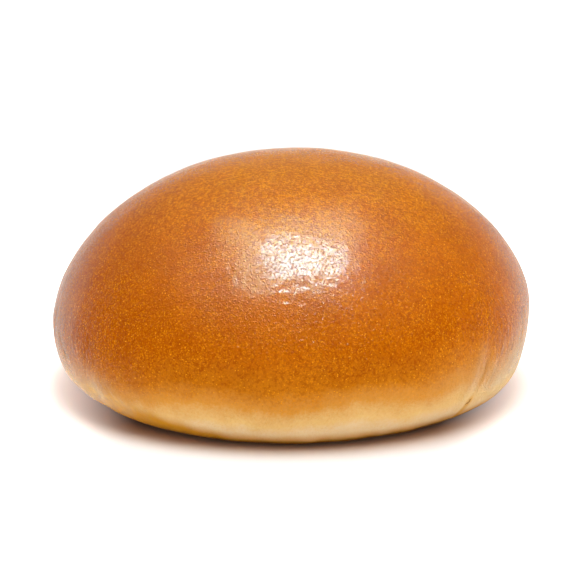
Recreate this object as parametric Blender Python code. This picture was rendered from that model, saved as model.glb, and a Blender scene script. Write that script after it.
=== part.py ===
"""Brioche burger bun, one solid, in metres, +Z up, resting on its flat base at z = 0.

A half outline is turned about Z, the round body is then made a little uneven, as a proved
and baked dough is, and the marks of its shaping are pressed into the side: one long tuck,
a few pinched creases beside it, a dimple and a softly rippled foot.
The front of the bun faces -Y. Bearings round it are in degrees from the front, towards +X.
"""

import math

import bmesh
import bpy
import numpy as np

# Overall form
RADIUS = 0.0539  # at the widest level
HEIGHT = 0.0527
WIDEST_LEVEL = 0.0175  # height of the widest level above the base
BASE_RADIUS = 0.0452  # flat base
CROWN_SPREAD = 2.12  # for the crown and the foot, 2 and 2 would make a true ellipse
CROWN_LIFT = 1.74
FOOT_SPREAD = 2.17
FOOT_LIFT = 1.82

# Unevenness of the whole body; each wave is waves round, size, bearing of a crest
BODY_WAVES = ((2, 0.0039, -58.0), (3, 0.0040, -26.0))  # size as a share of the radius
BASE_WAVES = ((1, 0.0004, 142.0), (2, 0.0008, -68.0), (3, 0.0015, -1.0))  # size in metres
WIDEST_SLANT = 0.0010  # the widest level is this much higher on the +X side
SIDE_RISE = 0.020  # so is the whole body, by this much for each metre
TOP_SHIFT = (-0.0007, 0.0019)  # how far the top stands from the middle of the base
TOP_SHIFT_POWER = 1.5
SWELL_DEPTH = 0.00012  # broad shallow lumps
SWELLS = ((4, 3, 0.4), (6, 2, 2.1))  # waves round, waves up, phase

# Tuck in the front right side, where the dough was drawn under
TUCK_FOOT = (49.0, 0.001)  # bearing and height of its lower end
TUCK_HEAD = (55.0, 0.0155)
TUCK_DEPTH = 0.0011
TUCK_HALF_WIDTH = 0.0019
TUCK_LIP = 0.45  # height of the raised lip, as a share of the depth
TUCK_LIP_SHIFT = -0.0036  # from the tuck to the lip, which lies nearer the front

# Pinched creases on both sides: foot, head, depth
CREASES = (
    ((57.5, 0.0080), (61.5, 0.0150), 0.00045),
    ((61.0, 0.0095), (66.5, 0.0165), 0.00045),
    ((73.5, 0.0110), (75.0, 0.0200), 0.00055),
    ((-70.0, 0.0120), (-73.0, 0.0165), 0.00060),
)
CREASE_HALF_WIDTH = 0.0014

# Soft dimple in the front left side
DIMPLE_BEARING = -58.0
DIMPLE_HEIGHT = 0.0065
DIMPLE_DEPTH = 0.0007
DIMPLE_RADIUS = 0.0048

# Ripple of the foot
RIPPLE_DEPTH = 0.00012
RIPPLE_REACH = 0.006  # it has faded out at this height
RIPPLES = ((11, 0.3), (17, 1.9))  # waves round, phase

# Mesh
SEGMENTS = 96
SMOOTH_UP_TO = 50.0  # degrees between faces
CROWN_RINGS = 27
FOOT_RINGS = 17
MERGE_DISTANCE = 0.000001

# Glazed crust
CRUST_COLOUR = (0.55, 0.145, 0.006, 1.0)
CRUST_ROUGHNESS = 0.32
GLAZE_SHARE = 0.6


def clear_scene():
    for item in list(bpy.data.objects):
        bpy.data.objects.remove(item, do_unlink=True)


def crust_material():
    material = bpy.data.materials.new("golden_crust")
    material.use_nodes = True
    shader = material.node_tree.nodes["Principled BSDF"]
    shader.inputs["Base Color"].default_value = CRUST_COLOUR
    shader.inputs["Roughness"].default_value = CRUST_ROUGHNESS
    shader.inputs["Metallic"].default_value = 0.0
    shader.inputs["Coat Weight"].default_value = GLAZE_SHARE
    return material


def half_outline():
    """The outline in the XZ plane, from the edge of the flat base to the top."""
    points = []
    for ring in range(FOOT_RINGS):
        turn = math.pi / 2 * (1 - ring / FOOT_RINGS)
        out = BASE_RADIUS + (RADIUS - BASE_RADIUS) * max(math.cos(turn), 0.0) ** (2 / FOOT_SPREAD)
        up = WIDEST_LEVEL * (1 - math.sin(turn) ** (2 / FOOT_LIFT))
        points.append((out, 0.0, up))
    for ring in range(CROWN_RINGS):
        turn = math.pi / 2 * ring / CROWN_RINGS
        out = RADIUS * math.cos(turn) ** (2 / CROWN_SPREAD)
        up = WIDEST_LEVEL + (HEIGHT - WIDEST_LEVEL) * math.sin(turn) ** (2 / CROWN_LIFT)
        points.append((out, 0.0, up))
    points.append((0.0, 0.0, HEIGHT))
    return points


def turned_body():
    """The outline spun into a closed body, with one flat face for the base."""
    body = bmesh.new()
    corners = [body.verts.new(point) for point in half_outline()]
    edges = [body.edges.new(pair) for pair in zip(corners, corners[1:])]
    bmesh.ops.spin(
        body,
        geom=corners + edges,
        cent=(0.0, 0.0, 0.0),
        axis=(0.0, 0.0, 1.0),
        angle=math.tau,
        steps=SEGMENTS,
        use_merge=True,
    )
    bmesh.ops.remove_doubles(body, verts=body.verts, dist=MERGE_DISTANCE)
    rim = [edge for edge in body.edges if edge.is_boundary]
    bmesh.ops.contextual_create(body, geom=rim)
    bmesh.ops.recalc_face_normals(body, faces=body.faces)
    return body


def smooth_bump(distance, reach):
    """1 at no distance, falling smoothly to 0."""
    return np.exp(-((distance / reach) ** 2))


def groove_distances(bearing, height, foot, head):
    """How far each point is beside a line up the side, and how far past its ends."""
    arc = math.radians(1.0) * RADIUS
    start = np.array((foot[0] * arc, foot[1]))
    along = np.array((head[0] * arc, head[1])) - start
    length = math.hypot(*along)
    along = along / length
    offset = np.stack((bearing * arc, height), axis=1) - start
    run = offset @ along
    beside = offset @ np.array((along[1], -along[0]))
    past = np.maximum(-run, 0.0) + np.maximum(run - length, 0.0)
    return beside, past


def pressed_in(bearing, height):
    """Depth of the tuck, the creases and the dimple at each point of the side."""
    beside, past = groove_distances(bearing, height, TUCK_FOOT, TUCK_HEAD)
    ends = smooth_bump(past, TUCK_HALF_WIDTH)
    depth = TUCK_DEPTH * smooth_bump(beside, TUCK_HALF_WIDTH) * ends
    depth -= TUCK_DEPTH * TUCK_LIP * smooth_bump(beside - TUCK_LIP_SHIFT, TUCK_HALF_WIDTH) * ends
    for foot, head, crease_depth in CREASES:
        beside, past = groove_distances(bearing, height, foot, head)
        depth += crease_depth * smooth_bump(np.hypot(beside, past), CREASE_HALF_WIDTH)
    dimple_arc = np.radians(bearing - DIMPLE_BEARING) * RADIUS
    depth += DIMPLE_DEPTH * smooth_bump(np.hypot(dimple_arc, height - DIMPLE_HEIGHT), DIMPLE_RADIUS)
    return depth


def waves_at(turn, waves):
    """The sum of some waves round the bun, each with its crest at its own bearing."""
    return sum(size * np.cos(count * (turn - math.radians(crest))) for count, size, crest in waves)


def relief(turn, up):
    """Height of the shallow lumps, the rippled foot and the pressed marks above the plain body."""
    above_foot = np.clip(up / RIPPLE_REACH, 0.0, 1.0)
    swell = sum(
        np.sin(round_count * turn + phase) * np.cos(up_count * math.pi * up / HEIGHT + phase)
        for round_count, up_count, phase in SWELLS
    )
    ripple = sum(np.sin(count * turn + phase) for count, phase in RIPPLES)
    raised = SWELL_DEPTH * swell * above_foot + RIPPLE_DEPTH * ripple * (1.0 - above_foot)
    return raised - pressed_in(np.degrees(turn), up) * above_foot


def make_uneven(body):
    """Moves the turned points to the uneven form of a baked bun, centred on the origin."""
    points = np.array([vert.co for vert in body.verts])
    out = np.hypot(points[:, 0], points[:, 1])
    turn = np.arctan2(points[:, 0], -points[:, 1])
    up = points[:, 2]
    in_foot = up < WIDEST_LEVEL
    rising = np.clip(up / WIDEST_LEVEL, 0.0, 1.0)
    to_top = np.clip((up - WIDEST_LEVEL) / (HEIGHT - WIDEST_LEVEL), 0.0, 1.0)
    tucked_under = np.where(in_foot, (RADIUS - out) / (RADIUS - BASE_RADIUS), 0.0)

    reach = out * (1.0 + (1.0 - tucked_under) * waves_at(turn, BODY_WAVES))
    reach += tucked_under * waves_at(turn, BASE_WAVES)
    reach += relief(turn, up) * out / RADIUS

    lean = (up / HEIGHT) ** TOP_SHIFT_POWER
    x = reach * np.sin(turn) + TOP_SHIFT[0] * lean
    y = -reach * np.cos(turn) + TOP_SHIFT[1] * lean
    slant = WIDEST_SLANT * np.sin(turn) * np.where(in_foot, rising, 1.0 - to_top)
    z = up + slant + SIDE_RISE * x * rising
    middle_x = (x.min() + x.max()) / 2
    middle_y = (y.min() + y.max()) / 2
    for vert, place in zip(body.verts, zip(x - middle_x, y - middle_y, z)):
        vert.co = place


def make_bun():
    body = turned_body()
    make_uneven(body)
    mesh = bpy.data.meshes.new("bun")
    body.to_mesh(mesh)
    body.free()
    mesh.materials.append(crust_material())
    mesh.shade_smooth()
    mesh.set_sharp_from_angle(angle=math.radians(SMOOTH_UP_TO))
    bun = bpy.data.objects.new("bun", mesh)
    bpy.context.scene.collection.objects.link(bun)
    return bun


clear_scene()
make_bun()
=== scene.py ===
import math

import bmesh
import bpy
import numpy as np
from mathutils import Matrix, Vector, noise


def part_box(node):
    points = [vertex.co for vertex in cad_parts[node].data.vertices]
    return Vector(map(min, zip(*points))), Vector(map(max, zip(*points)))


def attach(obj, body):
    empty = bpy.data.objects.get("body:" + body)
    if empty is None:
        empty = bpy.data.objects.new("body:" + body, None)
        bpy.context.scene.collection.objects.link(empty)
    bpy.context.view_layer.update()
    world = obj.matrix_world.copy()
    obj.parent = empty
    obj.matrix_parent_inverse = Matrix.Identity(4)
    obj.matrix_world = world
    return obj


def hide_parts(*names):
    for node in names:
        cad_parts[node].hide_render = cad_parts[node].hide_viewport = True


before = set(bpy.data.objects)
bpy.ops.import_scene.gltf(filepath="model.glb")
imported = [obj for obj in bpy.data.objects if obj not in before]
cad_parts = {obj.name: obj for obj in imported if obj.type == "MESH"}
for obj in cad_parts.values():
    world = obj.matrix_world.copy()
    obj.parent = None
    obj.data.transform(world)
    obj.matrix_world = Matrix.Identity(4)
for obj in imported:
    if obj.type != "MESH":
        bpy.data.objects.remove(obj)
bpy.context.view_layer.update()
bunLow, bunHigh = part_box("bun")
print("frame loaded, bun box in mm:", [round(1000 * side, 1) for side in bunHigh - bunLow])

# The bun stands on its flat base with its shown side towards -Y. Bearings round it are in
# degrees from that side, towards +X. Lengths are in metres.


# The turned body

bunShape = {
    "radius": 0.0539,
    "height": 0.0527,
    "widestLevel": 0.0175,
    "baseRadius": 0.0452,
    "crownSpread": 2.12,  # for the crown and the foot, 2 and 2 would make a true ellipse
    "crownLift": 1.74,
    "footSpread": 2.17,
    "footLift": 1.82,
    "bodyWaves": ((2, 0.0039, -58.0), (3, 0.0040, -26.0)),  # waves round, share of radius, crest bearing
    "baseWaves": ((1, 0.0004, 142.0), (2, 0.0008, -68.0), (3, 0.0015, -1.0)),  # the same, in metres
    "widestSlant": 0.0010,  # the widest level is this much higher on the +X side
    "sideRise": 0.020,  # so is the whole body, by this much for each metre
    "topShift": (-0.0007, 0.0019),  # how far the top stands from the middle of the base
    "topShiftPower": 1.5,
    "hollowUnder": 0.0004,  # how far the middle of the base stands off the table
    "restingRing": 0.004,  # width of the ring that touches the table
    "underEdge": 0.999,  # share of the base's radius where the underside's own finish ends
    "segments": 420,
    "crownRings": 140,
    "footRings": 46,
    "baseRings": 30,
    "mergeDistance": 1e-7,
}


def halfOutline(shape):
    # from the middle of the base, out under the foot, and up over the side to the top
    points = [(shape["baseRadius"] * ring / shape["baseRings"], 0.0) for ring in range(shape["baseRings"])]
    for ring in range(shape["footRings"]):
        turn = math.pi / 2 * (1 - ring / shape["footRings"])
        outShare = max(math.cos(turn), 0.0) ** (2 / shape["footSpread"])
        out = shape["baseRadius"] + (shape["radius"] - shape["baseRadius"]) * outShare
        points.append((out, shape["widestLevel"] * (1 - math.sin(turn) ** (2 / shape["footLift"]))))
    for ring in range(shape["crownRings"]):
        turn = math.pi / 2 * ring / shape["crownRings"]
        out = shape["radius"] * math.cos(turn) ** (2 / shape["crownSpread"])
        rise = (shape["height"] - shape["widestLevel"]) * math.sin(turn) ** (2 / shape["crownLift"])
        points.append((out, shape["widestLevel"] + rise))
    points.append((0.0, shape["height"]))
    return points


def turnBody(shape):
    body = bmesh.new()
    corners = [body.verts.new((out, 0.0, up)) for out, up in halfOutline(shape)]
    edges = [body.edges.new(pair) for pair in zip(corners, corners[1:])]
    bmesh.ops.spin(
        body,
        geom=corners + edges,
        cent=(0, 0, 0),
        axis=(0, 0, 1),
        angle=math.tau,
        steps=shape["segments"],
        use_merge=True,
    )
    bmesh.ops.remove_doubles(body, verts=body.verts, dist=shape["mergeDistance"])
    bmesh.ops.recalc_face_normals(body, faces=body.faces)
    mesh = bpy.data.meshes.new("brioche_bun")
    body.to_mesh(mesh)
    body.free()
    return mesh


def readPoints(mesh):
    flat = np.empty(len(mesh.vertices) * 3)
    mesh.vertices.foreach_get("co", flat)
    return flat.reshape(-1, 3)


def writePoints(mesh, points):
    mesh.vertices.foreach_set("co", points.astype(np.float32).ravel())
    mesh.update()


def readNormals(mesh):
    flat = np.empty(len(mesh.vertices) * 3)
    mesh.vertex_normals.foreach_get("vector", flat)
    return flat.reshape(-1, 3)


def bearingsOf(points):
    return np.degrees(np.arctan2(points[:, 0], -points[:, 1]))


def wavesAt(turn, waves):
    return sum(size * np.cos(count * (turn - math.radians(crest))) for count, size, crest in waves)


def makeUneven(points, shape):
    # the round body becomes the slightly lopsided one of hand-rolled dough
    out = np.hypot(points[:, 0], points[:, 1])
    turn = np.arctan2(points[:, 0], -points[:, 1])
    up = points[:, 2]
    inFoot = up < shape["widestLevel"]
    rising = np.clip(up / shape["widestLevel"], 0, 1)
    toTop = np.clip((up - shape["widestLevel"]) / (shape["height"] - shape["widestLevel"]), 0, 1)
    underShare = np.clip((shape["radius"] - out) / (shape["radius"] - shape["baseRadius"]), 0, 1)
    tuckedUnder = np.where(inFoot, underShare, 0.0)
    acrossBase = np.clip(out / shape["baseRadius"], 0, 1)

    reach = out * (1 + (1 - tuckedUnder) * wavesAt(turn, shape["bodyWaves"]))
    reach += tuckedUnder * acrossBase * wavesAt(turn, shape["baseWaves"])
    lean = (up / shape["height"]) ** shape["topShiftPower"]
    x = reach * np.sin(turn) + shape["topShift"][0] * lean
    y = -reach * np.cos(turn) + shape["topShift"][1] * lean
    slant = shape["widestSlant"] * np.sin(turn) * np.where(inFoot, rising, 1 - toTop)
    z = up + slant + shape["sideRise"] * x * rising
    inside = np.clip((shape["baseRadius"] - out) / shape["restingRing"], 0, 1)
    z += np.where(up == 0, shape["hollowUnder"] * inside * inside * (3 - 2 * inside), 0.0)
    return np.stack((x, y, z), axis=1)


def fitToFrame(points, low, high):
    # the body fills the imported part's own box
    size = points.max(axis=0) - points.min(axis=0)
    return (points - points.min(axis=0)) / size * np.array(high - low) + np.array(low)


def fadeOut(distance, reach):
    return np.exp(-((distance / reach) ** 2))


# The foot curls up off the table at the front left

curledFoot = {
    "bearing": -64.0,
    "reach": 24.0,  # degrees to each side
    "lift": 0.0012,
    "top": 0.012,  # the lift has faded out at this height
    "inner": 0.030,  # and this near to the middle
    "outer": 0.044,  # it is full from here on out
}


def curlFoot(points):
    foot = curledFoot
    out = np.hypot(points[:, 0], points[:, 1])
    there = fadeOut(bearingsOf(points) - foot["bearing"], foot["reach"])
    there *= np.clip(1 - points[:, 2] / foot["top"], 0, 1) ** 2
    there *= np.clip((out - foot["inner"]) / (foot["outer"] - foot["inner"]), 0, 1) ** 2
    curled = points.copy()
    curled[:, 2] += foot["lift"] * there
    return curled


# Marks of shaping in the side: tuck, creases, a dimple

bunMarks = {
    "tuck": {"foot": (49.6, 0.0030), "head": (54.5, 0.0145), "depth": 0.00018, "halfWidth": 0.0009},
    "tuckLip": {"foot": (46.8, 0.0060), "head": (51.0, 0.0150), "depth": -0.00016, "halfWidth": 0.0015},
    "creases": (  # foot, head, depth, half width
        ((57.6, 0.0084), (60.8, 0.0140), 0.00006, 0.0008),
        ((61.4, 0.0100), (64.8, 0.0150), 0.00006, 0.0008),
        ((73.5, 0.0127), (74.3, 0.0195), 0.00010, 0.0008),
        ((-69.7, 0.0123), (-72.3, 0.0151), 0.00020, 0.0008),
        ((-79.0, 0.0145), (-79.5, 0.0190), 0.00020, 0.0008),
        ((128.0, 0.0060), (124.0, 0.0150), 0.00022, 0.0008),
        ((171.0, 0.0020), (168.0, 0.0130), 0.00032, 0.0010),
        ((-131.0, 0.0040), (-135.0, 0.0120), 0.00025, 0.0009),
    ),
    "endFade": 2.5,  # how far a mark fades out past its ends, in half widths
    # painted shade darkens the tuck, the creases and the dimple, and painted light makes the tuck's raised
    # lip paler
    "tuckShade": 0.10,
    "paintedLipLight": 0.45,
    "creaseShade": 0.12,
    "dimpleShade": 0.15,
    "dimple": {"bearing": -57.0, "height": 0.0062, "radius": 0.0036, "depth": 0.0004},
}


def besideLine(bearing, height, foot, head):
    # how far each point lies beside a line up the side, and past its ends
    arc = math.radians(1) * bunShape["radius"]
    start = np.array((foot[0] * arc, foot[1]))
    along = np.array((head[0] * arc, head[1])) - start
    length = math.hypot(*along)
    along = along / length
    offset = np.stack((bearing * arc, height), axis=1) - start
    run = offset @ along
    return offset @ np.array((along[1], -along[0])), np.maximum(-run, 0) + np.maximum(run - length, 0)


def groove(bearing, height, foot, head, halfWidth):
    beside, past = besideLine(bearing, height, foot, head)
    return fadeOut(beside, halfWidth) * fadeOut(past, bunMarks["endFade"] * halfWidth)


def pressMarks(points, normals):
    # the marked body, the painted shade in its tuck, creases and dimple, and the painted light on the tuck's
    # lip
    bearing = bearingsOf(points)
    height = points[:, 2]
    tuck = bunMarks["tuck"]
    there = groove(bearing, height, tuck["foot"], tuck["head"], tuck["halfWidth"])
    depth = tuck["depth"] * there
    dark = bunMarks["tuckShade"] * there
    lip = bunMarks["tuckLip"]
    there = groove(bearing, height, lip["foot"], lip["head"], lip["halfWidth"])
    depth += lip["depth"] * there
    pale = bunMarks["paintedLipLight"] * there
    for foot, head, creaseDepth, halfWidth in bunMarks["creases"]:
        there = groove(bearing, height, foot, head, halfWidth)
        depth += creaseDepth * there
        dark += bunMarks["creaseShade"] * there
    dimple = bunMarks["dimple"]
    away = np.hypot(np.radians(bearing - dimple["bearing"]) * bunShape["radius"], height - dimple["height"])
    there = fadeOut(away, dimple["radius"])
    depth += dimple["depth"] * there
    dark += bunMarks["dimpleShade"] * there
    return points - normals * depth[:, None], np.clip(dark, 0, 1), np.clip(pale, 0, 1)


# Relief of the skin, from broad lumps down to fine leather; each noise is read at its own place

bunSkin = {
    "patterns": (  # size, height, place in the noise
        (0.0130, 0.00016, (0, 0, 0)),  # lumps
        (0.0052, 0.000055, (7, 3, 1)),  # dents
        (0.0026, 0.000032, (1, 9, 4)),  # leather
    ),
    "wrinkles": (0.0017, 0.00006),  # size, height
    "wrinkleStretch": 0.16,  # squeezes the pattern's height, so the wrinkles run up the side
    "wrinklePatches": (0.017, (4, 4, 8), 0.5, 0.9),  # size, place in the noise, mean share, swing
    "wrinkleFoot": 0.004,  # the wrinkles are full at this height
    "wrinkleTop": 0.030,  # and have faded out at this one
    "footRipple": (0.0105, 0.00030),
    "footRippleFoot": 0.0004,
    "footRippleTop": 0.005,
}


def noiseAt(spot, size, place=(0, 0, 0)):
    return noise.noise(spot / size + Vector(place))


def wrinkleAt(x, y, z):
    size, height = bunSkin["wrinkles"]
    patchSize, patchPlace, patchMean, patchSwing = bunSkin["wrinklePatches"]
    level = min(1.0, z / bunSkin["wrinkleFoot"]) * (1 - z / bunSkin["wrinkleTop"])
    patch = patchMean + patchSwing * noiseAt(Vector((x, y, z)), patchSize, patchPlace)
    fold = noiseAt(Vector((x, y, z * bunSkin["wrinkleStretch"])), size)
    return height * max(patch, 0.0) * level * (1 - 2 * abs(fold))


def rippleAt(x, y, z):
    size, height = bunSkin["footRipple"]
    level = (1 - z / bunSkin["footRippleTop"]) * min(1.0, z / bunSkin["footRippleFoot"])
    return height * level * noiseAt(Vector((x, y, 0)), size)


def raiseSkin(points, normals):
    heights = np.empty(len(points))
    for i, (x, y, z) in enumerate(points):
        spot = Vector((x, y, z))
        rise = sum(height * noiseAt(spot, size, place) for size, height, place in bunSkin["patterns"])
        if z < bunSkin["wrinkleTop"]:
            rise += wrinkleAt(x, y, z)
        if z < bunSkin["footRippleTop"]:
            rise += rippleAt(x, y, z)
        heights[i] = rise
    return points + normals * heights[:, None]


# How far each part of the crust has browned, and painted light that makes the crust lighter near the top

bunBakeAndTopLight = {
    "paleUpTo": 0.0030,
    "brownFrom": 0.0220,
    "drift": (0.016, 0.0024, (2, 5, 0)),  # the colour's edge wanders: size, height, place in the noise
    "flecks": (0.0035, 0.0012),
    "rimWander": (0.0040, 0.0004),  # the same for the rim's edge
    "leftFrom": 0.024,  # past this on the left, the crust browned further down
    "leftFull": 0.052,
    "leftShift": 0.0045,
    "topFrom": 0.041,  # painted light: above this the crust is painted a little lighter and more golden, as light from above shows it
    "paintedTopLight": 0.36,
}


def readBakeAndTopLight(points):
    bakeAndTopLight = np.empty(len(points))
    rim = np.empty(len(points))
    span = bunBakeAndTopLight["brownFrom"] - bunBakeAndTopLight["paleUpTo"]
    driftSize, drift, driftPlace = bunBakeAndTopLight["drift"]
    fleckSize, fleck = bunBakeAndTopLight["flecks"]
    rimSize, rimWander = bunBakeAndTopLight["rimWander"]
    for i, (x, y, z) in enumerate(points):
        spot = Vector((x, y, z))
        level = z + drift * noiseAt(spot, driftSize, driftPlace)
        level += fleck * noiseAt(spot, fleckSize)
        left = (-x - bunBakeAndTopLight["leftFrom"]) / (bunBakeAndTopLight["leftFull"] - bunBakeAndTopLight["leftFrom"])
        level += bunBakeAndTopLight["leftShift"] * min(1.0, max(0.0, left))
        # painted light from above makes the crust lighter towards the top
        top = max(0.0, level - bunBakeAndTopLight["topFrom"]) / (bunHigh.z - bunBakeAndTopLight["topFrom"])
        bakeAndTopLight[i] = min(1.0, (level - bunBakeAndTopLight["paleUpTo"]) / span) - bunBakeAndTopLight["paintedTopLight"] * min(1.0, top)
        rim[i] = z + rimWander * noiseAt(spot, rimSize)
    return np.clip(bakeAndTopLight, 0, 1), rim


def addLayer(mesh, name, values):
    layer = mesh.attributes.new(name, "FLOAT", "POINT")
    layer.data.foreach_set("value", values.astype(np.float32))


# Thin marks of the skin: little splits and fine lines along the creases, both painted dark as shade, and
# stains; bearing and height of both ends

skinMarks = {
    "splits": (  # foot, head, half width
        ((50.2, 0.0044), (50.5, 0.0047), 0.00028),
        ((50.8, 0.0048), (51.15, 0.0053), 0.00046),
        ((66.1, 0.0140), (66.6, 0.0152), 0.00026),
        ((73.8, 0.0082), (74.2, 0.0090), 0.00035),
        ((-69.3, 0.0120), (-70.0, 0.0129), 0.00034),
        ((149.6, 0.0074), (150.4, 0.0086), 0.00035),
    ),
    "lines": (
        ((52.4, 0.0065), (54.3, 0.0142), 0.00020),
        ((66.6, 0.0152), (67.0, 0.0172), 0.00018),
        ((73.5, 0.0127), (74.3, 0.0195), 0.00020),
        ((57.8, 0.0086), (60.6, 0.0136), 0.00018),
        ((-71.0, 0.0138), (-72.3, 0.0151), 0.00020),
        ((-79.0, 0.0148), (-79.2, 0.0192), 0.00024),
        ((127.8, 0.0062), (124.4, 0.0148), 0.00024),
        ((170.8, 0.0024), (168.2, 0.0128), 0.00024),
    ),
    "stains": (
        ((49.0, 0.0003), (50.9, 0.0050), 0.0018),
        ((-69.0, 0.0116), (-70.2, 0.0128), 0.0012),
        ((-56.5, 0.0080), (-62.0, 0.0028), 0.0028),
        ((-61.0, 0.0042), (-77.0, 0.0105), 0.0040),
        ((-66.0, 0.0062), (-83.0, 0.0135), 0.0040),
    ),
    "dents": (  # shallow dents below the highlight, which catch the light on their upper side
        ((-3.0, 0.0343), (-0.8, 0.0344), 0.0008),
        ((0.9, 0.0349), (4.4, 0.0347), 0.0009),
        ((6.6, 0.0353), (8.6, 0.0354), 0.0007),
        ((10.6, 0.0350), (12.2, 0.0352), 0.0007),
        ((-2.0, 0.0322), (-0.6, 0.0320), 0.0007),
        ((2.0, 0.0317), (3.8, 0.0320), 0.0007),
        ((-16.0, 0.0360), (-14.6, 0.0352), 0.0009),
        ((-18.5, 0.0378), (-17.4, 0.0370), 0.0007),
        ((27.0, 0.0331), (28.6, 0.0328), 0.0008),
    ),
    "dentDepth": 0.000050,
    "wobbleSize": 0.0008,
    "wobble": 0.0011,  # how far the marks wander from a straight line
    "splitShare": 0.75,
    "lineShare": 0.17,
    "stainColour": (0.66, 0.30, 0.014, 1.0),
    "stainShare": 0.60,
    "stainBake": (0.22, 0.55, 1.0, 0.0),  # stains show on the pale crust and are lost on the browned
    "pressedIn": 0.00016,
    "edge": 0.1,  # where the marks start to fade, as a share of their half width
}


# Finish of the crust. A noise has its size, detail and roughness; then comes where it starts to
# show and where it shows in full. Other fours give two levels, and the share at each.

crustFinish = {
    "bakeColours": (  # how far browned, colour
        (0.00, (0.88, 0.67, 0.375, 1.0)),
        (0.14, (0.85, 0.56, 0.210, 1.0)),
        (0.37, (0.72, 0.315, 0.050, 1.0)),
        (0.63, (0.59, 0.187, 0.006, 1.0)),
        (1.00, (0.485, 0.112, 0.0001, 1.0)),
    ),
    "grain": (0.0007, 3, 0.6),
    "bakeGrain": 0.16,  # how far the browning varies from grain to grain
    "brownedBake": (0.25, 0.9),
    "mottleAndShadeColour": (0.30, 0.052, 0.0003, 1.0),
    "blotches": (0.010, 4, 0.6, 0.38, 0.66),
    "blotchShare": 0.30,
    "mottle": (0.00075, 3, 0.6, 0.44, 0.64),
    "mottleShare": 0.62,
    "paintedShadeLeft": (0.006, 0.046, 0.0, 0.50),  # painted shade: the left side is painted darker
    "speckAndGlintColour": (0.80, 0.27, 0.002, 1.0),
    "specks": (0.00040, 1, 0.5, 0.50, 0.66),
    "speckCrowds": (0.0056, 2, 0.5, 0.35, 0.65, 0.45, 1.0),  # last, the share where sparse and where dense
    "speckBake": (0.1, 0.8, 0.10, 0.52),
    "crownGrain": (0.0008, 2, 0.6, 0.46, 0.62),  # on the crown, seen at a low angle, the grain is coarser
    "crownHeight": (0.033, 0.049, 0.0, 0.42),
    "betweenGrains": (0.0, 0.4, 1.0, 0.0),
    "betweenShare": 0.5,
    "dotAndGlintColour": (0.90, 0.38, 0.012, 1.0),
    "dotSpacing": 0.00066,
    "dotRadius": (0.08, 0.30, 1.0, 0.0),  # in spacings
    "dotChance": (0.15, 1.0),
    "dotBake": (0.05, 0.65),
    # painted light on the tuck's raised lip
    "paleColour": (0.66, 0.42, 0.18, 1.0),
    "paleShare": 0.55,
    # painted shade in the tuck, creases, dimple, splits and lines, and where the bun meets the tray
    "paintedShadeColour": (0.13, 0.045, 0.006, 1.0),
    "flankShadeColour": (0.36, 0.22, 0.10, 1.0),  # painted shade: the pale foot is painted a little darker at the far left and right
    "flankShade": (0.026, 0.048, 0.0, 0.42),
    "rimColour": (0.68, 0.30, 0.018, 1.0),
    "rimHeight": (0.0006, 0.0036, 1.0, 0.0),
    "rimLeft": (0.006, 0.046, 0.0, 0.0050),  # the golden rim reaches this much higher on the left
    "contactShadeHeight": (0.0005, 0.0018, 0.85, 0.0),  # painted contact shade: a dark line where the bun meets the tray
    "underColour": (0.34, 0.118, 0.018, 1.0),
    "underPatchColour": (0.54, 0.26, 0.070, 1.0),
    "underPatches": (0.011, 5, 0.65, 0.40, 0.68),
    "underMottle": 0.38,
    "pimples": (0.00042, 2, 0.55, 0.50, 0.74),
    "pimpleHeight": 0.000072,
    "peel": (0.0012, 2, 0.5),  # shallow dents like orange peel
    "folds": (0.0013, 2, 0.5, 0.6),  # fine upright folds on the sides; last, how far they are bent
    "foldStretch": (1.0, 1.0, 0.28),
    "foldHeight": (0.020, 0.034, 1.6, 0.0),
    "creaseHeight": 0.000085,
    "roughness": (0.00075, 2, 0.5, 0.3, 0.7, 0.26, 0.36),  # last, the roughness at each end
    "shine": 0.0,
    "glaze": (0.02, 0.32, 0.02, 0.9),
    "glazeRoughness": 0.07,
    "softness": 0.10,
    "softDepth": 0.0015,
    "softSpread": (1.0, 0.45, 0.15),
}

noiseMiddle = 0.5  # every noise swings about this value


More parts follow.
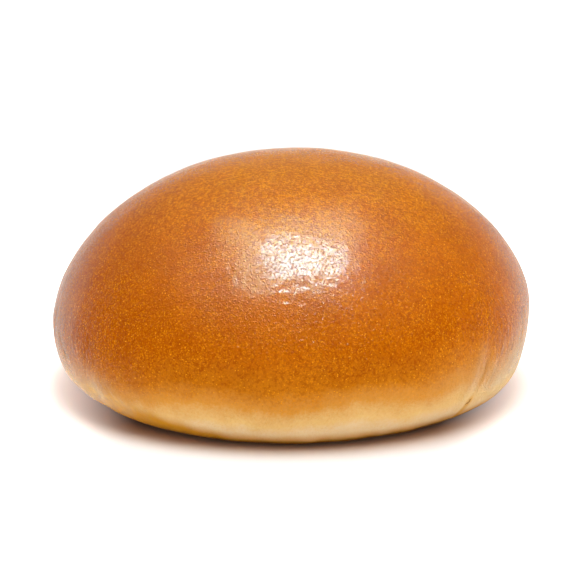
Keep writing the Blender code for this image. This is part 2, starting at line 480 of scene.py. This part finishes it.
class NodeBench:
    # adds nodes to the tree of a material or a world and links them as they are made
    def __init__(self, owner):
        owner.use_nodes = True
        self.tree = owner.node_tree
        self.shader = self.tree.nodes.get("Principled BSDF")

    def link(self, source, target):
        self.tree.links.new(source, target)

    def fill(self, socket, value):
        if isinstance(value, bpy.types.NodeSocket):
            self.link(value, socket)
        else:
            socket.default_value = value

    def node(self, kind, **settings):
        made = self.tree.nodes.new(kind)
        for name, value in settings.items():
            setattr(made, name, value)
        return made

    def math(self, operation, *values, clamp=False):
        made = self.node("ShaderNodeMath", operation=operation, use_clamp=clamp)
        for socket, value in zip(made.inputs, values):
            self.fill(socket, value)
        return made.outputs[0]

    def times(self, first, *others):
        for other in others:
            first = self.math("MULTIPLY", first, other)
        return first

    def vector(self, operation, *values):
        made = self.node("ShaderNodeVectorMath", operation=operation)
        for socket, value in zip(made.inputs, values):
            self.fill(socket, value)
        return made

    def split(self, vector):
        made = self.node("ShaderNodeSeparateXYZ")
        self.link(vector, made.inputs["Vector"])
        return made.outputs

    def spread(self, value, low, high, toLow=0.0, toHigh=1.0):
        made = self.node("ShaderNodeMapRange", interpolation_type="SMOOTHSTEP")
        for socket, given in zip(made.inputs, (value, low, high, toLow, toHigh)):
            self.fill(socket, given)
        return made.outputs[0]

    def mix(self, share, first, second):
        made = self.node("ShaderNodeMix", data_type="RGBA")
        shown = [socket for socket in made.inputs if socket.enabled]
        for socket, value in zip(shown, (share, first, second)):
            self.fill(socket, value)
        return next(socket for socket in made.outputs if socket.enabled)

    def layer(self, name):
        return self.node("ShaderNodeAttribute", attribute_name=name).outputs["Fac"]

    def place(self, stretch=(1.0, 1.0, 1.0)):
        here = self.node("ShaderNodeTexCoord").outputs["Object"]
        return self.vector("MULTIPLY", here, stretch).outputs["Vector"]

    def noise(self, where, size, detail=2, roughness=0.5, distortion=0.0, output="Fac"):
        made = self.node("ShaderNodeTexNoise")
        self.link(where, made.inputs["Vector"])
        made.inputs["Scale"].default_value = 1 / size
        made.inputs["Detail"].default_value = detail
        made.inputs["Roughness"].default_value = roughness
        made.inputs["Distortion"].default_value = distortion
        return made.outputs[output]

    def pattern(self, where, size, detail, roughness, *ends):
        return self.spread(self.noise(where, size, detail, roughness), *ends)

    def stroke(self, spot, foot, head, halfWidth):
        # 1 along a line up the side, 0 beside it
        arc = math.radians(1) * bunShape["radius"]
        start = Vector((foot[0] * arc, foot[1], 0))
        along = Vector((head[0] * arc, head[1], 0)) - start
        offset = self.vector("SUBTRACT", spot, start).outputs["Vector"]
        run = self.vector("DOT_PRODUCT", offset, along / along.length_squared).outputs["Value"]
        nearest = self.vector("SCALE", along)
        self.link(self.math("ADD", run, 0.0, clamp=True), nearest.inputs["Scale"])
        away = self.vector("DISTANCE", offset, nearest.outputs["Vector"]).outputs["Value"]
        return self.spread(away, skinMarks["edge"] * halfWidth, halfWidth, 1.0, 0.0)

    def strokes(self, spot, marks):
        together = 0.0
        for foot, head, halfWidth in marks:
            together = self.math("MAXIMUM", self.stroke(spot, foot, head, halfWidth), together)
        return together

    def bump(self, height, depth, below=None, pressed=False):
        made = self.node("ShaderNodeBump", invert=pressed)
        made.inputs["Distance"].default_value = depth
        self.link(height, made.inputs["Height"])
        if below is not None:
            self.link(below, made.inputs["Normal"])
        return made.outputs["Normal"]


def wobblySpot(bench, here):
    # where a point lies on the rolled-out side, shifted a little so that no mark is ruled straight
    x, y, z = bench.split(here)
    bearing = bench.math("ARCTAN2", x, bench.times(y, -1.0))
    onSide = bench.node("ShaderNodeCombineXYZ")
    bench.link(bench.times(bearing, bunShape["radius"]), onSide.inputs["X"])
    bench.link(z, onSide.inputs["Y"])
    wander = bench.noise(here, skinMarks["wobbleSize"], output="Color")
    shift = bench.vector("SUBTRACT", wander, (noiseMiddle, noiseMiddle, noiseMiddle)).outputs["Vector"]
    reach = (skinMarks["wobble"], skinMarks["wobble"], 0.0)
    return bench.vector("MULTIPLY_ADD", shift, reach, onSide.outputs["Vector"]).outputs["Vector"]


def bakedColour(bench, here, bakeAndTopLight):
    # the colour comes from how far the crust has browned, and from the painted light near the top
    ramp = bench.node("ShaderNodeValToRGB")
    stops = ramp.color_ramp.elements
    while len(stops) < len(crustFinish["bakeColours"]):
        stops.new(1.0)
    for stop, (position, colour) in zip(stops, crustFinish["bakeColours"]):
        stop.position = position
        stop.color = colour
    grain = bench.math("SUBTRACT", bench.noise(here, *crustFinish["grain"]), noiseMiddle)
    bench.link(bench.math("ADD", bakeAndTopLight, bench.times(grain, crustFinish["bakeGrain"])), ramp.inputs["Fac"])
    return ramp.outputs["Color"]


def mottleAndSideShade(bench, colour, here, browned, mottle):
    # darker blotches and mottling, and painted shade that darkens the left side
    finish = crustFinish
    blotches = bench.pattern(here, *finish["blotches"])
    colour = bench.mix(bench.times(blotches, browned, finish["blotchShare"]), colour, finish["mottleAndShadeColour"])
    colour = bench.mix(bench.times(mottle, browned, finish["mottleShare"]), colour, finish["mottleAndShadeColour"])
    toLeft = bench.spread(bench.times(bench.split(here)["X"], -1.0), *finish["paintedShadeLeft"])
    return bench.mix(bench.times(toLeft, browned), colour, finish["mottleAndShadeColour"])


def speckledColour(bench, colour, here, bakeAndTopLight):
    # golden specks, the coarser grain of the crown, and pale dots: partly the crust's own speckle, partly
    # painted glints of the glaze
    finish = crustFinish
    specks = bench.times(bench.pattern(here, *finish["specks"]), bench.pattern(here, *finish["speckCrowds"]))
    specks = bench.times(specks, bench.spread(bakeAndTopLight, *finish["speckBake"]))
    colour = bench.mix(specks, colour, finish["speckAndGlintColour"])
    grains = bench.pattern(here, *finish["crownGrain"])
    onCrown = bench.spread(bench.split(here)["Z"], *finish["crownHeight"])
    colour = bench.mix(bench.times(grains, onCrown), colour, finish["speckAndGlintColour"])
    between = bench.spread(grains, *finish["betweenGrains"])
    between = bench.times(between, onCrown, finish["betweenShare"])
    colour = bench.mix(between, colour, finish["mottleAndShadeColour"])

    cells = bench.node("ShaderNodeTexVoronoi")
    bench.link(here, cells.inputs["Vector"])
    cells.inputs["Scale"].default_value = 1 / finish["dotSpacing"]
    dot = bench.spread(cells.outputs["Distance"], *finish["dotRadius"])
    cellColour = bench.node("ShaderNodeSeparateColor")
    bench.link(cells.outputs["Color"], cellColour.inputs["Color"])
    chosen = bench.spread(cellColour.outputs["Red"], *finish["dotChance"])
    dots = bench.times(dot, chosen, bench.spread(bakeAndTopLight, *finish["dotBake"]))
    return bench.mix(dots, colour, finish["dotAndGlintColour"])


def footColour(bench, colour, here, browned):
    # painted shade on the far flanks, the golden rim, and painted contact shade where the bun meets the tray
    finish = crustFinish
    x = bench.split(here)["X"]
    flankShade = bench.spread(bench.math("ABSOLUTE", x), *finish["flankShade"])
    flankShade = bench.times(flankShade, bench.math("SUBTRACT", 1.0, browned))
    colour = bench.mix(flankShade, colour, finish["flankShadeColour"])
    height = bench.layer("rim")
    rimLeft = bench.spread(bench.times(x, -1.0), *finish["rimLeft"])
    rim = bench.spread(bench.math("SUBTRACT", height, rimLeft), *finish["rimHeight"])
    colour = bench.mix(rim, colour, finish["rimColour"])
    return bench.mix(bench.spread(height, *finish["contactShadeHeight"]), colour, finish["paintedShadeColour"])


def undersideColour(bench, here, mottle):
    # dry and matt, and paler in patches where it stood clear of the tray
    finish = crustFinish
    patches = bench.pattern(here, *finish["underPatches"])
    colour = bench.mix(patches, finish["underColour"], finish["underPatchColour"])
    return bench.mix(bench.times(mottle, finish["underMottle"]), colour, finish["mottleAndShadeColour"])


def crustRelief(bench, here, spot, thin):
    # the skin's finest relief, one layer upon the other
    finish = crustFinish
    pimples = bench.pattern(here, *finish["pimples"])
    onSides = bench.spread(bench.split(here)["Z"], *finish["foldHeight"])
    folds = bench.noise(bench.place(finish["foldStretch"]), *finish["folds"])
    folds = bench.times(bench.math("SUBTRACT", folds, noiseMiddle), onSides)
    creases = bench.math("ADD", bench.noise(here, *finish["peel"]), folds)
    relief = bench.bump(pimples, finish["pimpleHeight"])
    relief = bench.bump(creases, finish["creaseHeight"], below=relief)
    dents = bench.strokes(spot, skinMarks["dents"])
    relief = bench.bump(dents, skinMarks["dentDepth"], below=relief, pressed=True)
    return bench.bump(thin, skinMarks["pressedIn"], below=relief, pressed=True)


def addGloss(bench, here, bakeAndTopLight):
    # the egg glaze thins out towards the foot and stops under the bun
    finish = crustFinish
    sockets = bench.shader.inputs
    bench.link(bench.pattern(here, *finish["roughness"]), sockets["Roughness"])
    covered = bench.math("SUBTRACT", 1.0, bench.layer("under"), clamp=True)
    glazed = bench.spread(bakeAndTopLight, *finish["glaze"])
    bench.link(bench.times(glazed, covered), sockets["Coat Weight"])
    sockets["Coat Roughness"].default_value = finish["glazeRoughness"]
    sockets["Specular IOR Level"].default_value = finish["shine"]
    sockets["Subsurface Weight"].default_value = finish["softness"]
    sockets["Subsurface Radius"].default_value = finish["softSpread"]
    sockets["Subsurface Scale"].default_value = finish["softDepth"]


def crustMaterial():
    finish = crustFinish
    material = bpy.data.materials.new("glazed_crust")
    bench = NodeBench(material)
    here = bench.place()
    spot = wobblySpot(bench, here)
    bakeAndTopLight = bench.layer("bakeAndTopLight")
    browned = bench.spread(bakeAndTopLight, *finish["brownedBake"])
    mottle = bench.pattern(here, *finish["mottle"])

    colour = bakedColour(bench, here, bakeAndTopLight)
    colour = mottleAndSideShade(bench, colour, here, browned, mottle)
    colour = speckledColour(bench, colour, here, bakeAndTopLight)
    # painted light on the tuck's lip
    colour = bench.mix(bench.times(bench.layer("pale"), finish["paleShare"]), colour, finish["paleColour"])
    # painted shade in the tuck, the creases and the dimple
    colour = bench.mix(bench.layer("dark"), colour, finish["paintedShadeColour"])
    colour = footColour(bench, colour, here, browned)

    stains = bench.times(bench.strokes(spot, skinMarks["stains"]), skinMarks["stainShare"])
    stains = bench.times(stains, bench.spread(bakeAndTopLight, *skinMarks["stainBake"]))
    colour = bench.mix(stains, colour, skinMarks["stainColour"])
    splits = bench.times(bench.strokes(spot, skinMarks["splits"]), skinMarks["splitShare"])
    lines = bench.times(bench.strokes(spot, skinMarks["lines"]), skinMarks["lineShare"])
    # painted shade in the little splits and along the creases and the tuck
    thin = bench.math("MAXIMUM", splits, lines)
    colour = bench.mix(thin, colour, finish["paintedShadeColour"])
    colour = bench.mix(bench.layer("under"), colour, undersideColour(bench, here, mottle))
    bench.link(colour, bench.shader.inputs["Base Color"])

    relief = crustRelief(bench, here, spot, thin)
    bench.link(relief, bench.shader.inputs["Normal"])
    bench.link(relief, bench.shader.inputs["Coat Normal"])
    addGloss(bench, here, bakeAndTopLight)
    return material


def makeBun():
    mesh = turnBody(bunShape)
    base = readPoints(mesh)
    underRadius = bunShape["underEdge"] * bunShape["baseRadius"]
    under = (base[:, 2] == 0) & (np.hypot(base[:, 0], base[:, 1]) < underRadius)
    print("body turned:", len(mesh.vertices), "points")
    writePoints(mesh, curlFoot(fitToFrame(makeUneven(base, bunShape), bunLow, bunHigh)))
    points, dark, pale = pressMarks(readPoints(mesh), readNormals(mesh))
    print("marks pressed into the side")
    writePoints(mesh, points)
    points = raiseSkin(points, readNormals(mesh))
    points[:, 2] = np.maximum(points[:, 2], bunLow.z)
    writePoints(mesh, points)
    print("skin raised")
    bakeAndTopLight, rim = readBakeAndTopLight(points)
    layers = {"bakeAndTopLight": bakeAndTopLight, "rim": rim, "dark": dark, "pale": pale, "under": under}
    for name, values in layers.items():
        addLayer(mesh, name, values)
    mesh.materials.append(crustMaterial())
    mesh.shade_smooth()
    bun = bpy.data.objects.new("brioche_bun", mesh)
    bpy.context.scene.collection.objects.link(bun)
    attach(bun, "root")
    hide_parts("bun")
    print("bun made:", len(mesh.polygons), "faces")
    return bun


makeBun()


# White table, lit well past white, so that only the shadow under the bun shows on it

tableSetup = {
    "halfSize": 4.0,
    "colour": (0.73, 0.70, 0.69, 1.0),
    "paintedShadowColour": (0.55, 0.36, 0.26, 1.0),  # painted shadow: close to the bun the table is painted a dark, crust-like brown
    "paintedShadowReach": (0.0455, 0.0620),
    "glows": (  # two distances, and the glow's strength at each, so that the table stays white
        (0.048, 0.072, 0.0, 0.34),
        (0.150, 0.700, 0.0, 1.2),
    ),
    "sideGlow": (0.032, 0.058, 0.0, 0.70),  # the same, from left to right
    "sideMiddle": -0.001,
    "glowColour": (1.0, 0.95, 0.93, 1.0),
}


def tableMaterial():
    material = bpy.data.materials.new("white_table")
    bench = NodeBench(material)
    here = bench.place()
    away = bench.vector("LENGTH", here).outputs["Value"]
    matt = bench.node("ShaderNodeBsdfDiffuse")
    # painted shadow: the table is painted dark brown close to the bun
    clear = bench.spread(away, *tableSetup["paintedShadowReach"])
    bench.link(bench.mix(clear, tableSetup["paintedShadowColour"], tableSetup["colour"]), matt.inputs["Color"])
    sideways = bench.math("SUBTRACT", bench.split(here)["X"], tableSetup["sideMiddle"])
    strength = bench.spread(bench.math("ABSOLUTE", sideways), *tableSetup["sideGlow"])
    for ends in tableSetup["glows"]:
        strength = bench.math("ADD", strength, bench.spread(away, *ends))
    glow = bench.node("ShaderNodeEmission")
    glow.inputs["Color"].default_value = tableSetup["glowColour"]
    bench.link(strength, glow.inputs["Strength"])
    both = bench.node("ShaderNodeAddShader")
    bench.link(matt.outputs[0], both.inputs[0])
    bench.link(glow.outputs[0], both.inputs[1])
    bench.link(both.outputs[0], bench.tree.nodes["Material Output"].inputs["Surface"])
    return material


def makeTable():
    half = tableSetup["halfSize"]
    corners = [(-half, -half, 0), (half, -half, 0), (half, half, 0), (-half, half, 0)]
    mesh = bpy.data.meshes.new("table")
    mesh.from_pydata(corners, [], [(0, 1, 2, 3)])
    mesh.materials.append(tableMaterial())
    table = bpy.data.objects.new("table", mesh)
    bpy.context.scene.collection.objects.link(table)
    table.visible_glossy = False  # what the glaze mirrors is set in the studio's own light instead
    print("table laid")
    return table


makeTable()


# Softboxes overhead, and the studio round the bun. Fours give two levels, and the light at each.

lightSetup = {
    "lamps": (  # name, place, size, colour, brightness as it lights the bun, and as the glaze mirrors it
        ("softbox_left", (-0.010, -0.070, 0.66), (0.18, 0.31), (0.47, 0.88, 1.0), 12.1, 365.0),
        ("softbox_right", (0.132, -0.072, 0.66), (0.13, 0.26), (0.47, 0.88, 1.0), 10.1, 335.0),
        ("scrim", (-0.026, -0.012, 0.70), (0.48, 0.60), (0.84, 1.0, 0.60), 1.85, 188.0),
    ),
    "white": (1.0, 1.0, 1.0, 1.0),
    "above": (0.20, 0.60, 0.0, 0.12),  # light from high up all round
    "rightPanel": (0.95, 1.65, 0.0, 0.62),  # white panels round the sides and the back, by turn from ahead
    "leftPanel": (1.20, 1.90, 0.0, 0.30),
    "panelTop": (0.40, 0.80, 1.0, 0.0),
    "ring": (-0.5, 0.2, 1.76, 0.45),  # light from close to the table, in front and behind
    "ringTop": (0.12, 0.42, 1.0, 0.0),
    "mirrored": 1.18,  # white sweep behind, as the glaze mirrors it
    "mirroredColours": ((0.56, 0.94, 0.98, 1.0), (0.85, 0.74, 0.67, 1.0)),  # round the bun, right behind it
    "mirroredTurn": (0.84, 1.00),
    "mirroredFloor": (-0.44, -0.10, 0.95, 1.0),  # it is a little dimmer low down, where the table starts
    "mirroredEdge": (0.34, 0.76),
    "mirroredTop": (-0.25, 0.50, 1.0, 0.0),
    "leastLevel": 0.001,  # stands in for the level part of a direction straight up or down
}


def hangLamp(name, place, size, colour, brightness):
    lamp = bpy.data.lights.new(name, "AREA")
    lamp.color = colour[:3]
    lamp.shape = "RECTANGLE"
    lamp.size, lamp.size_y = size
    lamp.energy = brightness * math.pi * size[0] * size[1]
    holder = bpy.data.objects.new(name, lamp)
    bpy.context.scene.collection.objects.link(holder)
    holder.location = place
    return holder


def hangLamps():
    # each lamp hangs twice: one lights the bun, and a tinted one is seen in the glaze
    for name, place, size, colour, lit, mirrored in lightSetup["lamps"]:
        hangLamp(name, place, size, lightSetup["white"], lit).visible_glossy = False
        hangLamp(name + "_mirrored", place, size, colour, mirrored).visible_diffuse = False
    print("lamps hung")


def roomLight(bench, x, y, z):
    # what the studio's walls throw on the bun
    turn = bench.math("ARCTAN2", x, bench.times(y, -1.0))
    right = bench.spread(turn, *lightSetup["rightPanel"])
    left = bench.spread(bench.times(turn, -1.0), *lightSetup["leftPanel"])
    panels = bench.times(bench.math("ADD", right, left), bench.spread(z, *lightSetup["panelTop"]))
    ring = bench.times(bench.spread(z, *lightSetup["ringTop"]), bench.spread(y, *lightSetup["ring"]))
    return bench.math("ADD", bench.math("MAXIMUM", panels, ring), bench.spread(z, *lightSetup["above"]))


def mirroredSweep(bench, back, z):
    # what the glaze mirrors of the sweep behind the bun
    behind = bench.spread(back, *lightSetup["mirroredEdge"])
    below = bench.spread(z, *lightSetup["mirroredTop"])
    level = bench.spread(z, *lightSetup["mirroredFloor"])
    return bench.times(behind, below, level, lightSetup["mirrored"])


def makeStudio():
    world = bpy.data.worlds.new("studio")
    bpy.context.scene.world = world
    bench = NodeBench(world)
    bench.tree.nodes.clear()
    x, y, z = bench.split(bench.node("ShaderNodeTexCoord").outputs["Generated"])
    level = bench.math("SQRT", bench.math("SUBTRACT", 1.0, bench.times(z, z), clamp=True))
    back = bench.math("DIVIDE", y, bench.math("MAXIMUM", level, lightSetup["leastLevel"]))

    path = bench.node("ShaderNodeLightPath")
    glossy = path.outputs["Is Glossy Ray"]
    inGlaze = bench.times(mirroredSweep(bench, back, z), glossy)
    onBun = bench.times(roomLight(bench, x, y, z), bench.math("SUBTRACT", 1.0, glossy))
    strength = bench.math("MAXIMUM", bench.math("ADD", inGlaze, onBun), path.outputs["Is Camera Ray"])
    tint = bench.mix(bench.spread(back, *lightSetup["mirroredTurn"]), *lightSetup["mirroredColours"])

    studio = bench.node("ShaderNodeBackground")
    bench.link(bench.mix(glossy, lightSetup["white"], tint), studio.inputs["Color"])
    bench.link(strength, studio.inputs["Strength"])
    bench.link(studio.outputs[0], bench.node("ShaderNodeOutputWorld").inputs["Surface"])
    world.cycles.sampling_method = "NONE"
    print("studio lit")


hangLamps()
makeStudio()


# Camera where the picture was taken from

cameraSetup = {
    "elevation": 14.5,
    "distance": 0.800,
    "lookedAt": (0.0, 0.0, 0.027),  # the point that the distance is measured from
    "lens": 217.8,
    "sensor": 36.0,
    "aim": (0.00018, -0.0013, 0.0218),
    "clip": (0.01, 50.0),
}


def makeCamera():
    tilt = math.radians(cameraSetup["elevation"])
    away = Vector((0, -math.cos(tilt), math.sin(tilt))) * cameraSetup["distance"]
    camera = bpy.data.objects.new("camera", bpy.data.cameras.new("camera"))
    bpy.context.scene.collection.objects.link(camera)
    camera.location = Vector(cameraSetup["lookedAt"]) + away
    sight = Vector(cameraSetup["aim"]) - camera.location
    camera.rotation_euler = sight.to_track_quat("-Z", "Y").to_euler()
    camera.data.lens = cameraSetup["lens"]
    camera.data.sensor_width = cameraSetup["sensor"]
    camera.data.clip_start, camera.data.clip_end = cameraSetup["clip"]
    bpy.context.scene.camera = camera
    print("camera set")


makeCamera()

bpy.context.scene.view_settings.view_transform = "Standard"
